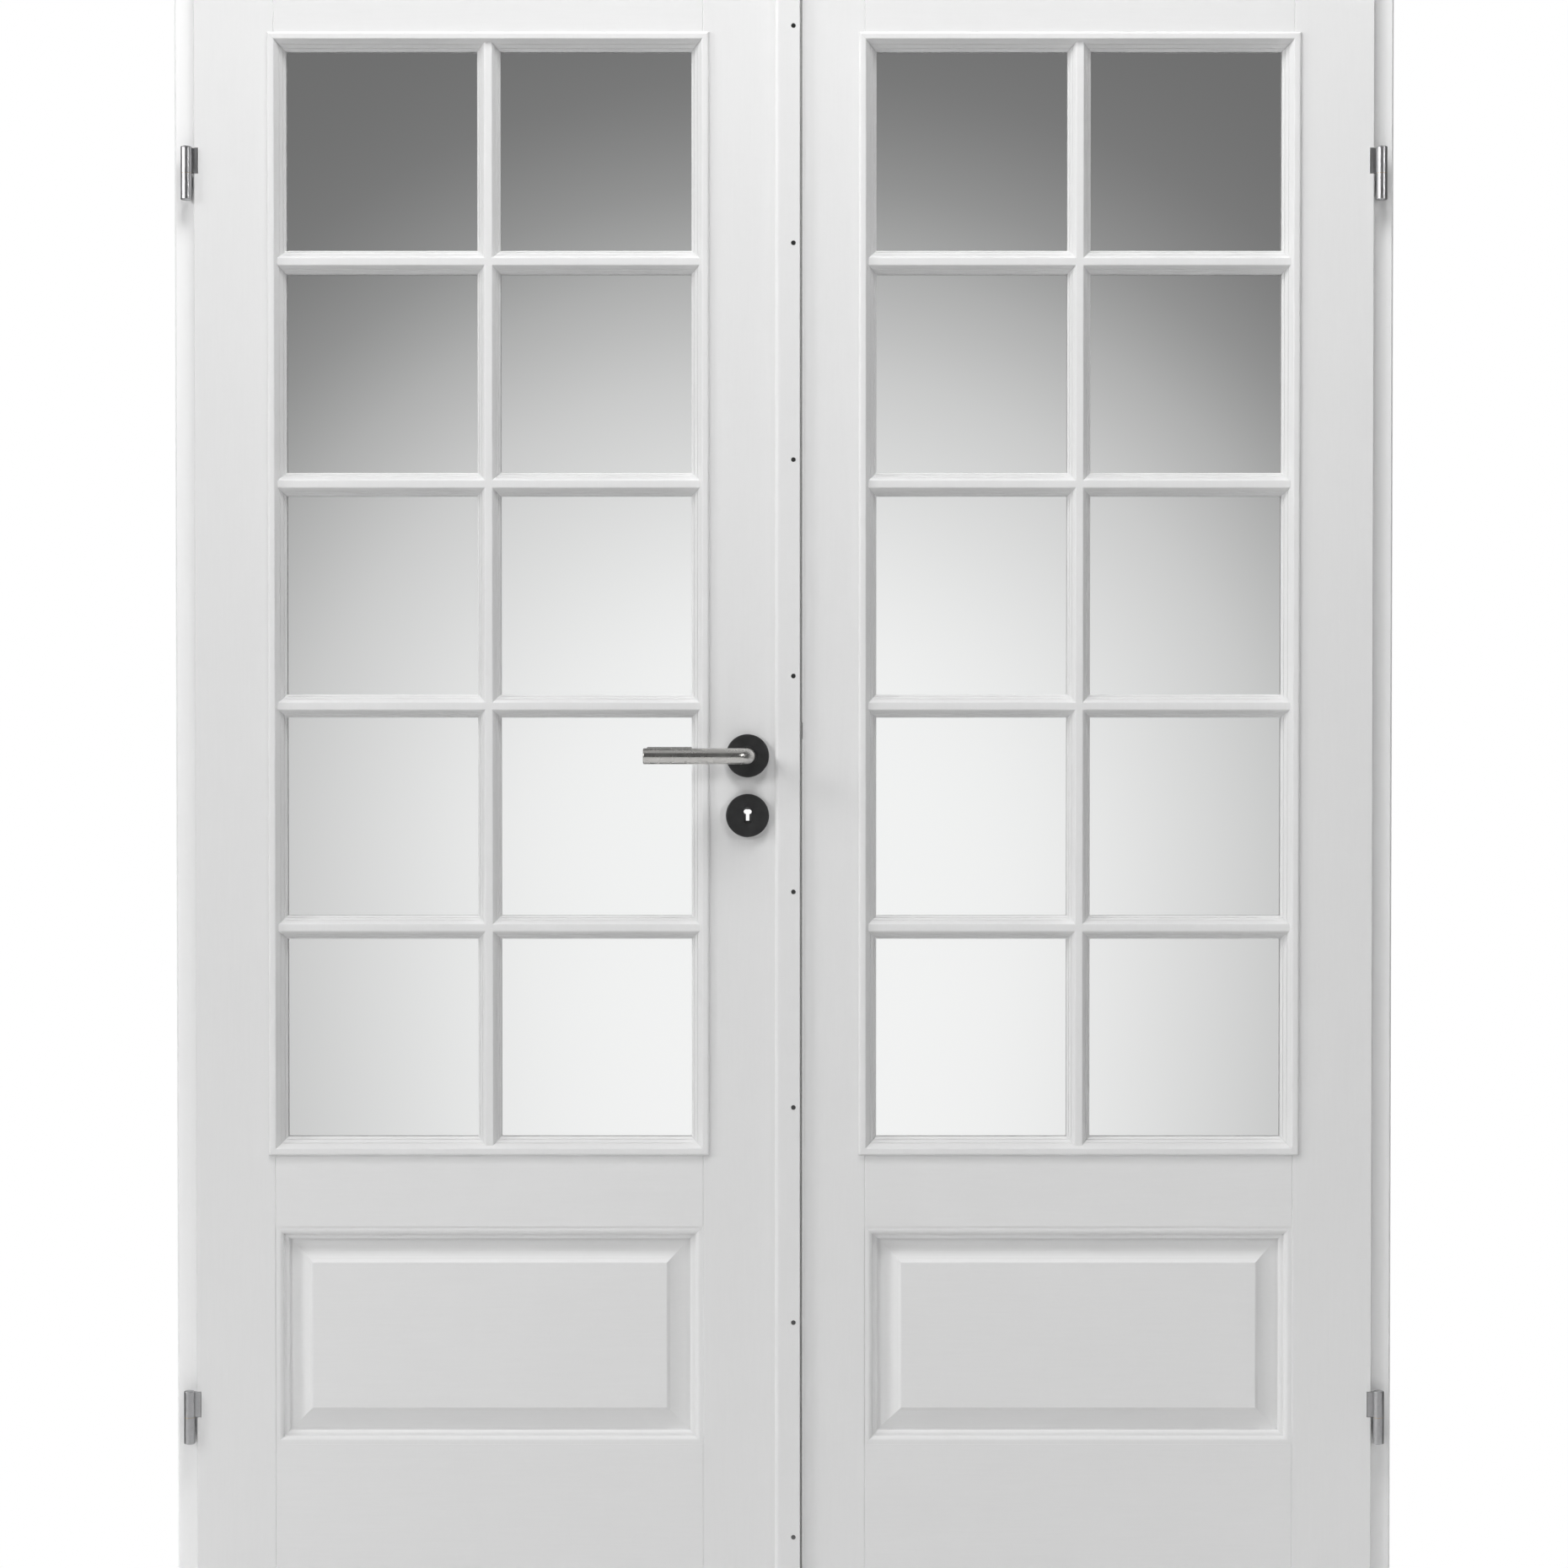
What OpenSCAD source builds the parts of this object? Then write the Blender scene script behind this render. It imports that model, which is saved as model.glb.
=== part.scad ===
// A pair of glazed french doors in a slim frame: two framed leaves, each with
// ten lights over one raised panel, a cover strip, a lever lock and bolts.
// Millimetres. +Z is up, the pull side faces -Y, and the origin is the middle
// of the threshold's underside.

/* [Leaves] */
// Width over both closed leaves
pair_w = 1420; // [1200:1:1800]
// Height of a leaf
leaf_h = 2040; // [1700:1:2300]
// Thickness of a leaf
leaf_t = 40; // [38:0.5:50]
// Width of the lip that laps over the frame
lip_w = 13; // [10:0.5:16]
// Thickness of that lip
lip_t = 14; // [12:0.5:16]
// Width of a hinge stile
stile_w = 96; // [85:1:130]
// From the middle of the pair to a leaf's infill
infill_in = 97.5; // [90:0.5:130]
// How far the active leaf reaches past the middle
active_reach = 19.3; // [12:0.1:24]
// Gap between the two leaves
meeting_gap = 3.2; // [3:0.1:5]
// Height of the bottom rail
bottom_rail_h = 221; // [150:1:300]
// Height of the raised panel's opening
panel_h = 264; // [200:1:400]
// Height of the lock rail
lock_rail_h = 94; // [80:1:160]
// Height of the top rail
top_rail_h = 124; // [100:1:200]

/* [Glazing] */
// Columns of lights
cols = 2; // [1:1:3]
// Rows of lights
rows = 5; // [3:1:6]
// Width of a glazing bar
bar_w = 28; // [24:0.5:36]
// Width of a glazing bar's flat top
bar_flat = 8; // [6:0.5:12]
// Width of the bead inside the opening
bead_w = 14; // [14:0.5:20]
// How far the bead laps over stiles and rails
bead_lap = 7.5; // [4:0.5:10]
// How far the bead stands off the leaf's face
bead_rise = 4.5; // [3:0.25:6]
// Thickness of the glass
glass_t = 4; // [3:0.5:6]
// Thickness of the glazing tape
tape_t = 1; // [0.8:0.1:2]

/* [Raised panel] */
// Width of the panel moulding
mould_w = 17; // [14:0.5:24]
// Width of the panel's sloping border
slope_w = 22.5; // [15:0.5:35]
// Depth of the groove that holds the panel
groove_d = 10; // [8:0.5:14]

/* [Frame] */
// Depth of the frame, front to back
frame_d = 92; // [80:1:140]
// Thickness of a jamb at the rebate
jamb_t = 35; // [30:1:60]
// Depth of the stop behind the leaves
stop_w = 12; // [10:0.5:20]
// Height of the threshold
threshold_h = 15; // [12:1:25]
// Gap between a leaf and the frame
edge_gap = 3; // [2.5:0.25:5]
// Gap under a leaf
sill_gap = 4; // [3:0.5:8]
// Diameter of a fixing hole in a jamb
fixing_d = 8.4; // [6:0.2:10]

/* [Hinges] */
// Height of one hinge half
hinge_h = 30; // [24:1:40]
// Diameter of a hinge barrel
barrel_d = 13; // [11:0.5:16]
// Diameter of a hinge pin
pin_d = 7; // [6:0.25:8]
// From the leaf's edge to the hinge axis
axis_out = 8.5; // [8.5:0.25:12]
// Height of the lower hinge above the leaf's foot
hinge_low = 269.5; // [200:0.5:400]
// Depth of the upper hinge below the leaf's top
hinge_high = 270.5; // [200:0.5:400]

/* [Cover strip] */
// Width of the cover strip
strip_w = 30.3; // [24:0.1:40]
// Thickness of the cover strip
strip_t = 8; // [5:0.5:12]
// Number of strip screws
strip_screws_n = 8; // [4:1:10]
// Height of the first strip screw
strip_screw_first = 110; // [60:1:200]
// From the strip's free edge to its screws
strip_screw_in = 8; // [6:0.5:12]

/* [Lock and lever] */
// Height of the lever's axis above the leaf's foot
lever_h = 1054; // [980:1:1120]
// From the forend to the lever's axis
backset = 63.3; // [60:0.1:70]
// From the lever's axis down to the keyhole
key_drop = 72; // [72:0.5:92]
// Diameter of the lever's tube
lever_d = 19; // [16:0.5:22]
// Length of the lever from its axis
lever_l = 123; // [100:1:150]
// From the leaf's face to the grip's axis
lever_off = 50; // [42:1:65]
// Diameter of a rose
rose_d = 52; // [48:1:60]
// Thickness of a rose
rose_t = 8; // [6:0.5:10]
// Side of the square spindle
spindle_w = 8; // [7:0.5:9]
// Throw of the latch
latch_throw = 13.5; // [12:0.5:15]

/* [Flush bolts] */
// Diameter of a bolt rod
rod_d = 8; // [6:0.5:9]
// Length of a bolt rod
rod_l = 200; // [150:5:300]
// Throw of a bolt
bolt_throw = 14; // [10:1:16]

/* [Hidden] */
$fn = 48;

eps = 0.01;         // overshoot of a cut past a face
clear = 0.3;        // clearance of a let-in or sliding piece
fit = 0.05;         // running clearance of a shaft, radially
arris = 0.8;        // small chamfer on a wooden edge
mitre_gap = 0.08;   // fine joint at a mitred corner, to each side

// Leaf planes, front to back
lap_gap = 1;                                // behind the lip
face_y = -frame_d / 2 - lap_gap - lip_t;    // front face of the leaves
lip_y = face_y + lip_t;                     // back of the lip
back_y = face_y + leaf_t;                   // back face of the leaves
mid_y = face_y + leaf_t / 2;                // middle of the leaves' thickness
seal_gap = 3;                               // between a leaf and the stop
stop_y = back_y + seal_gap;

// Leaf heights
foot_z = threshold_h + sill_gap;
top_z = foot_z + leaf_h;
panel_z0 = foot_z + bottom_rail_h;
panel_z1 = panel_z0 + panel_h;
glaze_z0 = panel_z1 + lock_rail_h;
glaze_z1 = top_z - top_rail_h;

// Leaf widths, on the right of the middle
edge_x = pair_w / 2;                        // edge of the lip
body_x = edge_x - lip_w;                    // edge of the leaf behind the lip
infill_out = edge_x - stile_w;
passive_x = active_reach + meeting_gap;     // passive leaf's front edge
relief = 2.5;                               // passive leaf's edge set back
relief_d = 10;                              // depth over which it is set back

// Frame
rebate_x = body_x + edge_gap;
jamb_x = rebate_x + jamb_t;
stop_x = rebate_x - stop_w;
rebate_z = top_z - lip_w + edge_gap;
frame_top = rebate_z + jamb_t;
frame_y = frame_d / 2;
fixing_n = 4;                               // fixing holes in each jamb
fixing_low = 230;                           // height of the lowest
fixing_high = 234;                          // depth of the highest below the top
fixing_pitch = (frame_top - fixing_low - fixing_high) / (fixing_n - 1);
fixing_z = [for (i = [0:fixing_n - 1]) fixing_low + i * fixing_pitch];
fixing_y = 14;
seal_in = 5;                                // seal's root, from the stop's edge
seal_root = 2;                              // thickness of that root
seal_deep = 4;                              // depth of that root

// Hinges
axis_x = edge_x + axis_out;
axis_y = face_y - 2;
hinge_z = [foot_z + hinge_low, top_z - hinge_high];
tang_t = 4;                                 // frame half's flat tang
tang_y1 = -18;                              // back end of that tang
plate_t = 2.8;                              // leaf half's let-in plate
plate_y0 = face_y + 4;
plate_x0 = edge_x - 36;
notch_w = 5.4;                              // notch in the lip's edge
hinge_play = 0.5;                           // between the halves of a hinge
frame_screw = 9;                            // screws off a tang's middle
leaf_screw = 8;                             // screws off a plate's middle
tang_screw_y = tang_y1 - 7;
plate_screw_x = edge_x - 7;
screw_r = 2;
head_r = 3.6;
head_h = 2;

// Lock
lock_x = active_reach - backset;            // lever and key axis
lever_z = foot_z + lever_h;
key_z = lever_z - key_drop;
forend_t = 3;
forend_w = 20;
forend_h = 235;
forend_z = lever_z - 28;                    // middle of the forend
forend_screws = [forend_z - forend_h / 2 + 8, forend_z + forend_h / 2 - 8];
case_x0 = lock_x - 26;
case_x1 = active_reach - forend_t - clear;
case_z0 = key_z - 22;
case_z1 = lever_z + 52;
case_t = 15;
case_wall = 1.5;
latch_z = lever_z + 30;
latch_h = 20;
latch_t = 11;
latch_out = 14;                             // latch past the forend
dead_z = key_z + 32;
dead_h = 26;
dead_t = 11;
neck_r = lever_d / 2;
bend_r = 16;
arm_r = 17.5;                               // reach of the follower's arm
hub_r = 10;
key_w = 9.6;                                // keyhole's round-ended head
key_r = 3;
key_slot = 4.2;                             // and its stem
key_foot = 7;
guide_r = 5;                                // oval hole in an escutcheon
guide_h = 20.4;

// Strike and bolts
strike_t = 2.5;
strike_x = passive_x + relief;              // face it is let into
rod_x = strike_x + 13;
rod_y = (lip_y + back_y) / 2;               // middle of the leaf behind its lip
rod_upper_z = top_z - lip_w - 2;
rod_lower_z = foot_z + 2;
plate_len = rod_l + 10;
thumb_w = 6;
thumb_h = 12;
keep_t = 2;

// Points on a round stretch of an outline
function arc(cx, cy, r, a0, a1, n = 6) =
    [for (i = [0:n]) let (a = a0 + (a1 - a0) * i / n) [cx + r * cos(a), cy + r * sin(a)]];

function flip(list) = [for (i = [len(list) - 1:-1:0]) list[i]];

function front_to_back(half) =
    concat(half, [for (p = flip(half)) [p[0], 2 * mid_y - p[1]]]);

// A rectangular body with mitred corners: at each [grow, y] of the outline its
// four sides stand that far outside the rectangle x0..x1, z0..z1.
module mitred(x0, x1, z0, z1, outline) {
    over = max([for (p = outline) p[0]]) + 1;
    intersection() {
        translate([0, 0, z0 - over])
            linear_extrude(z1 - z0 + 2 * over)
                polygon(concat([for (p = outline) [x0 - p[0], p[1]]],
                               [for (p = flip(outline)) [x1 + p[0], p[1]]]));
        translate([x0 - over, 0, 0])
            rotate([90, 0, 90])
                linear_extrude(x1 - x0 + 2 * over)
                    polygon(concat([for (p = outline) [p[1], z0 - p[0]]],
                                   [for (p = flip(outline)) [p[1], z1 + p[0]]]));
    }
}

module box(x0, x1, y0, y1, z0, z1) {
    translate([x0, y0, z0]) cube([x1 - x0, y1 - y0, z1 - z0]);
}

// A shape in X and Z, run through from y0 to y1
module slab(y0, y1) {
    translate([0, y1, 0]) rotate([90, 0, 0]) linear_extrude(y1 - y0) children();
}

module rod_x_axis(x0, x1, y, z, r) {
    translate([x0, y, z]) rotate([0, 90, 0]) cylinder(h = x1 - x0, r = r);
}

module rod_y_axis(y0, y1, x, z, r) {
    translate([x, y0, z]) rotate([-90, 0, 0]) cylinder(h = y1 - y0, r = r);
}

module rod_z_axis(z0, z1, x, y, r) {
    translate([x, y, z0]) cylinder(h = z1 - z0, r = r);
}

module left() {
    mirror([1, 0, 0]) children();
}

module front_and_back() {
    children();
    translate([0, 2 * mid_y, 0]) mirror([0, 1, 0]) children();
}

module back_only() {
    translate([0, 2 * mid_y, 0]) mirror([0, 1, 0]) children();
}

// One side of a four-sided surround, cut at 45 degrees at its corners
module side_of(x0, x1, z0, z1, reach, depth, side) {
    lo_x = x0 - reach;
    hi_x = x1 + reach;
    lo_z = z0 - reach;
    hi_z = z1 + reach;
    cut = reach + depth;
    corners = [[lo_x, lo_z], [hi_x, lo_z], [hi_x, hi_z], [lo_x, hi_z]];
    inner = [[lo_x + cut, lo_z + cut], [hi_x - cut, lo_z + cut],
             [hi_x - cut, hi_z - cut], [lo_x + cut, hi_z - cut]];
    after = (side + 1) % 4;
    run = corners[after] - corners[side];
    inset = mitre_gap * run / norm(run);
    intersection() {
        children();
        slab(-3 * leaf_t, leaf_t)
            polygon([corners[side] + inset, corners[after] - inset,
                     inner[after] - inset, inner[side] + inset]);
    }
}

// ---- Frame ----

module jamb() {
    difference() {
        linear_extrude(frame_top)
            polygon([[rebate_x, -frame_y], [jamb_x - 2, -frame_y], [jamb_x, -frame_y + 2],
                     [jamb_x, frame_y], [stop_x, frame_y], [stop_x, stop_y],
                     [rebate_x, stop_y]]);
        seal_groove();
        for (z = hinge_z)
            frame_hinge_cut(z);
        for (z = fixing_z)
            rod_x_axis(stop_x - 1, jamb_x + 1, fixing_y, z, fixing_d / 2);
    }
}

module seal_groove() {
    half = seal_root / 2 + clear;
    box(stop_x + seal_in - half, stop_x + seal_in + half,
        stop_y - 1, stop_y + seal_deep + clear, -1, frame_top + 1);
}

module frame_hinge_cut(z) {
    top = z - hinge_h / 2 - hinge_play;
    box(axis_x - tang_t / 2 - clear, axis_x + tang_t / 2 + clear,
        -frame_y - 1, tang_y1 + clear, top - hinge_h - clear, top + clear);
    for (dz = [-frame_screw, frame_screw]) {
        at = top - hinge_h / 2 + dz;
        rod_x_axis(rebate_x - 1, axis_x + 10, tang_screw_y, at, screw_r);
        rod_x_axis(rebate_x - 1, rebate_x + head_h + 0.2, tang_screw_y, at, head_r + 0.1);
    }
}

module left_jamb() { color([0.93, 0.93, 0.93]) left() jamb(); }

module right_jamb() { color([0.93, 0.93, 0.93]) jamb(); }

head_seal_z = rebate_z - stop_w + seal_in;

module head_jamb() {
    color([0.93, 0.93, 0.93])
        difference() {
            union() {
                box(-rebate_x, rebate_x, -frame_y, stop_y, rebate_z, frame_top);
                box(-stop_x, stop_x, stop_y, frame_y, rebate_z - stop_w, frame_top);
            }
            box(-stop_x - 1, stop_x + 1, stop_y - 1, stop_y + seal_deep + clear,
                head_seal_z - seal_root / 2 - clear, head_seal_z + seal_root / 2 + clear);
            rod_z_axis(rebate_z - 1, rebate_z + bolt_throw + 6, rod_x, rod_y, rod_d / 2 + 1);
            keep_plate_space(rebate_z - 1, rebate_z + keep_t);
        }
}

module keep_plate_space(z0, z1) {
    box(rod_x - 20, rod_x + 20, rod_y - 9, rod_y + 9, z0, z1);
}

module threshold() {
    color([0.9, 0.9, 0.9])
        difference() {
            union() {
                box(-rebate_x, rebate_x, -frame_y, stop_y, 0, threshold_h);
                box(-stop_x, stop_x, stop_y, frame_y, 0, threshold_h);
            }
            rod_z_axis(threshold_h - bolt_throw, threshold_h + 1, rod_x, rod_y, rod_d / 2 + 1);
            keep_plate_space(threshold_h - keep_t, threshold_h + 1);
        }
}

// Rubber seal: a root in the stop's groove and a lip that the leaf meets
seal_half = [[seal_root / 2, seal_deep], [seal_root / 2, 0], [2.5, 0], [2.5, -2],
             [seal_root / 2, clear - seal_gap]];

module seal_section() {
    polygon(concat([for (p = seal_half) [seal_in - p[0], p[1]]],
                   [for (p = flip(seal_half)) [seal_in + p[0], p[1]]]));
}

module frame_seal() {
    color([0.8, 0.8, 0.8]) {
        for (side = [0, 1])
            mirror([side, 0, 0])
                translate([stop_x, stop_y, threshold_h])
                    linear_extrude(rebate_z - stop_w - threshold_h)
                        seal_section();
        translate([-stop_x, stop_y, rebate_z - stop_w])
            rotate([90, 0, 90])
                linear_extrude(2 * stop_x)
                    mirror([1, -1, 0]) seal_section();
    }
}

module frame_hinge_half(z) {
    top = z - hinge_h / 2 - hinge_play;
    rod_z_axis(top - hinge_h, top, axis_x, axis_y, barrel_d / 2);
    rod_z_axis(top - 1, top + hinge_h - 2, axis_x, axis_y, pin_d / 2);
    difference() {
        box(axis_x - tang_t / 2, axis_x + tang_t / 2, axis_y, tang_y1, top - hinge_h, top);
        for (dz = [-frame_screw, frame_screw])
            rod_x_axis(axis_x - 5, axis_x + 5, tang_screw_y, top - hinge_h / 2 + dz,
                       screw_r + 0.1);
    }
}

module frame_hinge_halves() {
    color([0.6, 0.6, 0.6])
        for (side = [0, 1], z = hinge_z)
            mirror([side, 0, 0]) frame_hinge_half(z);
}

module frame_hinge_screws() {
    color([0.6, 0.6, 0.6])
        for (side = [0, 1], z = hinge_z, dz = [-frame_screw, frame_screw])
            mirror([side, 0, 0]) {
                at = z - hinge_h - hinge_play + dz;
                rod_x_axis(rebate_x + 0.2, rebate_x + 0.2 + head_h, tang_screw_y, at, head_r);
                rod_x_axis(rebate_x + 1, axis_x + 9, tang_screw_y, at, screw_r);
            }
}

module bolt_keeps() {
    color([0.7, 0.7, 0.7])
        for (z = [rebate_z, threshold_h - keep_t])
            difference() {
                keep_plate_space(z, z + keep_t);
                rod_z_axis(z - 1, z + keep_t + 1, rod_x, rod_y, rod_d / 2 + 0.8);
            }
}

// ---- Leaf, drawn on the right ----

module top_rebate() {
    box(-1, edge_x + 1, lip_y, back_y + 1, top_z - lip_w, top_z + 1);
}

tongue_t = 10;                              // panel's tongue in its groove

module panel_groove() {
    half = tongue_t / 2 + clear;
    box(infill_in - groove_d, infill_out + groove_d, mid_y - half, mid_y + half,
        panel_z0 - groove_d, panel_z1 + groove_d);
}

// Each rail end has two dowels, half in the rail and half in the stile
dowel_l = 90;
dowel_r = 6;
rail_mids = [
    [foot_z + bottom_rail_h / 2, bottom_rail_h * 0.26],
    [panel_z1 + lock_rail_h / 2 + 3, lock_rail_h * 0.22],
    [glaze_z1 + (top_rail_h - lip_w) / 2, top_rail_h * 0.22]
];

module dowels(grow = 0) {
    for (x = [infill_in, infill_out], rail = rail_mids, dz = [-rail[1], rail[1]])
        rod_x_axis(x - dowel_l / 2 - grow, x + dowel_l / 2 + grow,
                   mid_y, rail[0] + dz, dowel_r + grow);
}

module hinge_stile() {
    difference() {
        translate([0, 0, foot_z])
            linear_extrude(leaf_h)
                polygon([[infill_out + arris, face_y], [edge_x - 1, face_y], [edge_x, face_y + 1],
                         [edge_x, lip_y], [body_x, lip_y], [body_x, back_y],
                         [infill_out + arris, back_y], [infill_out, back_y - arris],
                         [infill_out, face_y + arris]]);
        top_rebate();
        panel_groove();
        dowels(0.1);
        for (z = hinge_z)
            leaf_hinge_cut(z);
    }
}

module leaf_hinge_cut(z) {
    half = hinge_h / 2 + hinge_play;
    box(edge_x - notch_w, edge_x + 1, face_y - 1, plate_y0 + 1, z - half, z + half);
    box(plate_x0 - clear, edge_x + 1, plate_y0 - clear, plate_y0 + plate_t + clear,
        z - half, z + half);
    for (dz = [-leaf_screw, leaf_screw]) {
        rod_y_axis(plate_y0, lip_y + 1, plate_screw_x, z + dz, screw_r + 0.1);
        rod_y_axis(lip_y - head_h - 0.2, lip_y + 1, plate_screw_x, z + dz, head_r + 0.1);
    }
}

module leaf_hinge_half(z) {
    difference() {
        union() {
            rod_z_axis(z - hinge_h / 2, z + hinge_h / 2, axis_x, axis_y, barrel_d / 2);
            box(edge_x - notch_w + 0.8, axis_x, face_y, plate_y0 + plate_t,
                z - hinge_h / 2, z + hinge_h / 2);
            box(plate_x0, edge_x, plate_y0, plate_y0 + plate_t,
                z - hinge_h / 2, z + hinge_h / 2);
        }
        rod_z_axis(z - hinge_h / 2 - 1, z + hinge_h / 2 - 1.5, axis_x, axis_y, pin_d / 2 + fit);
        for (dz = [-leaf_screw, leaf_screw])
            rod_y_axis(plate_y0 - 6, lip_y, plate_screw_x, z + dz, screw_r + 0.1);
    }
}

module leaf_hinge_halves() {
    for (z = hinge_z) leaf_hinge_half(z);
}

module leaf_hinge_screws() {
    for (z = hinge_z, dz = [-leaf_screw, leaf_screw]) {
        rod_y_axis(lip_y - head_h - 0.2, lip_y - 0.2, plate_screw_x, z + dz, head_r);
        rod_y_axis(plate_y0 + 0.2, lip_y - 1, plate_screw_x, z + dz, screw_r);
    }
}

// A rail between the stiles, with a fine arris at each joint
module rail(z0, z1) {
    translate([0, 0, z0])
        linear_extrude(z1 - z0)
            polygon([[infill_in, face_y + arris], [infill_in + arris, face_y],
                     [infill_out - arris, face_y], [infill_out, face_y + arris],
                     [infill_out, back_y - arris], [infill_out - arris, back_y],
                     [infill_in + arris, back_y], [infill_in, back_y - arris]]);
}

module top_rail() {
    difference() {
        rail(glaze_z1, top_z);
        top_rebate();
        dowels(0.1);
    }
}

module lock_rail() {
    difference() {
        rail(panel_z1, glaze_z0);
        panel_groove();
        dowels(0.1);
    }
}

module bottom_rail() {
    difference() {
        rail(foot_z, panel_z0);
        panel_groove();
        dowels(0.1);
    }
}

// Raised panel: a field, a small step, a slope, a flat margin and a tongue
field_y = face_y + 3;
step_w = 5;                                 // step between field and slope
step_d = 4.6;
margin_y = mid_y - 6;
slope_y = field_y + step_d;

// The slope is hollow: steepest at the step, level where it meets the moulding
panel_half = concat(
    [[-mould_w - slope_w - step_w, field_y],
     [-mould_w - slope_w - step_w * 0.8, field_y + step_d * 0.1],
     [-mould_w - slope_w - step_w * 0.15, slope_y - step_d * 0.08]],
    [for (t = [0:0.125:1])
        [-mould_w - slope_w * (1 - t), margin_y - (margin_y - slope_y) * pow(1 - t, 2)]],
    [[-0.5, margin_y], [-0.5, mid_y - tongue_t / 2], [groove_d - 2, mid_y - tongue_t / 2]]
);

module raised_panel() {
    mitred(infill_in, infill_out, panel_z0, panel_z1, front_to_back(panel_half));
}

// Panel moulding: two small round beads with fine steps, mitred at the corners
mould_face = face_y + 0.6;
mould_step = mould_face + 6.4;              // step between the two rounds
mould_cut = concat(
    [[-mould_w, margin_y + 1], [-mould_w, margin_y - 1.4]],
    arc(-mould_w + 6.2, margin_y - 1.4, 5.2, 180, 270, 5),
    [[-mould_w + 7.6, mould_step - 0.2]],
    arc(-mould_w + 12.8, mould_face + 5, 5, 180, 270, 5),
    [[-2.5, mould_face], [-2.5, face_y - 1]]
);

module panel_mouldings() {
    front_and_back()
        for (side = [0:3])
            side_of(infill_in, infill_out, panel_z0, panel_z1, 0, mould_w + 1, side)
                difference() {
                    box(infill_in, infill_out, mould_face, margin_y, panel_z0, panel_z1);
                    mitred(infill_in, infill_out, panel_z0, panel_z1, mould_cut);
                }
}

// Glass, its tape, the beads round it and the bars across it
glass_y0 = mid_y - glass_t / 2;
bead_back = glass_y0 - tape_t;              // where the beads meet the tape
bead_face = face_y - bead_rise;             // top of the bead's lip
bevel_w = bead_w - 0.4;                     // bevel of a bead, glass to lip
wall_y = bead_back - 3;                     // foot of every bevel
bevel_rise = (wall_y - bead_face) / bevel_w;
glass_in = 4;                               // glass's edge inside the opening
tape_in = bead_w - 2;                       // tape's inner edge, under the bead
light_x0 = infill_in + bead_w;
light_x1 = infill_out - bead_w;
light_z0 = glaze_z0 + bead_w;
light_z1 = glaze_z1 - bead_w;
light_w = (light_x1 - light_x0 - (cols - 1) * bar_w) / cols;
light_h = (light_z1 - light_z0 - (rows - 1) * bar_w) / rows;
slope_in = (bar_w - bar_flat) / 2;          // bevel of a bar
bar_face = wall_y - bevel_rise * slope_in;
quirk_d = 0.45;                             // depth of a fine groove in a bevel
soft = 2.2;                                 // where a bevel rounds into a flat

function on_bevel(w) = wall_y - bevel_rise * w;

function quirk(w) =
    [[w, on_bevel(w)], [w + 0.25, on_bevel(w) + quirk_d], [w + 0.9, on_bevel(w + 0.9)]];

// A bevel w wide over one light: wall, slope, fine grooves and a soft shoulder
function bevel(w) = concat(
    [[0, bead_back + 1], [0, wall_y]],
    quirk(w * 0.22),
    quirk(w * 0.52),
    [[w - soft, on_bevel(w - soft)], [w - soft * 0.55, on_bevel(w) + soft * 0.42],
     [w - soft * 0.2, on_bevel(w) + soft * 0.11], [w + 0.4, on_bevel(w)],
     [w + 0.4, on_bevel(w) - 9]]
);

light_cut = bevel(slope_in);
lip_cut = bevel(bevel_w);

// Section of the bead's outside: in the opening, over the leaf, rounded off
bead_round = 3.2;
bead_out = concat(
    [[0, bead_back], [0, face_y], [bead_lap, face_y]],
    arc(bead_lap - bead_round, bead_face + bead_round, bead_round, 0, -90, 6)
);

// The end of a bar in plan: mitred down to its flat top, pointing along +Y
module bar_end(x, z, turn) {
    translate([x, z]) rotate(turn)
        polygon([[-bar_w / 2, -1], [bar_w / 2, -1], [bar_w / 2, 0],
                 [bar_flat / 2, slope_in], [-bar_flat / 2, slope_in], [-bar_w / 2, 0]]);
}

module bar_ends() {
    for (i = [1:1:cols - 1]) {
        x = light_x0 + i * (light_w + bar_w) - bar_w / 2;
        bar_end(x, light_z0, 180);
        bar_end(x, light_z1, 0);
    }
    for (j = [1:1:rows - 1]) {
        z = light_z0 + j * (light_h + bar_w) - bar_w / 2;
        bar_end(light_x0, z, 90);
        bar_end(light_x1, z, -90);
    }
}

module beads() {
    for (side = [0:3])
        side_of(infill_in, infill_out, glaze_z0, glaze_z1, bead_lap, bead_w + 1, side)
            difference() {
                mitred(infill_in, infill_out, glaze_z0, glaze_z1, bead_out);
                mitred(light_x0, light_x1, light_z0, light_z1, lip_cut);
                slab(bar_face - 10, bead_back + 1) bar_ends();
            }
}

module bars() {
    difference() {
        slab(bar_face, bead_back)
            union() {
                translate([light_x0, light_z0])
                    square([light_x1 - light_x0, light_z1 - light_z0]);
                bar_ends();
            }
        for (i = [0:cols - 1], j = [0:rows - 1]) {
            x = light_x0 + i * (light_w + bar_w);
            z = light_z0 + j * (light_h + bar_w);
            mitred(x, x + light_w, z, z + light_h, light_cut);
        }
    }
}

module glass() {
    box(infill_in + glass_in, infill_out - glass_in, glass_y0, glass_y0 + glass_t,
        glaze_z0 + glass_in, glaze_z1 - glass_in);
}

module glazing_tape() {
    front_and_back()
        difference() {
            box(infill_in + glass_in, infill_out - glass_in, bead_back, glass_y0,
                glaze_z0 + glass_in, glaze_z1 - glass_in);
            box(infill_in + tape_in, infill_out - tape_in, bead_back - 1, glass_y0 + 1,
                glaze_z0 + tape_in, glaze_z1 - tape_in);
        }
}

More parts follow.
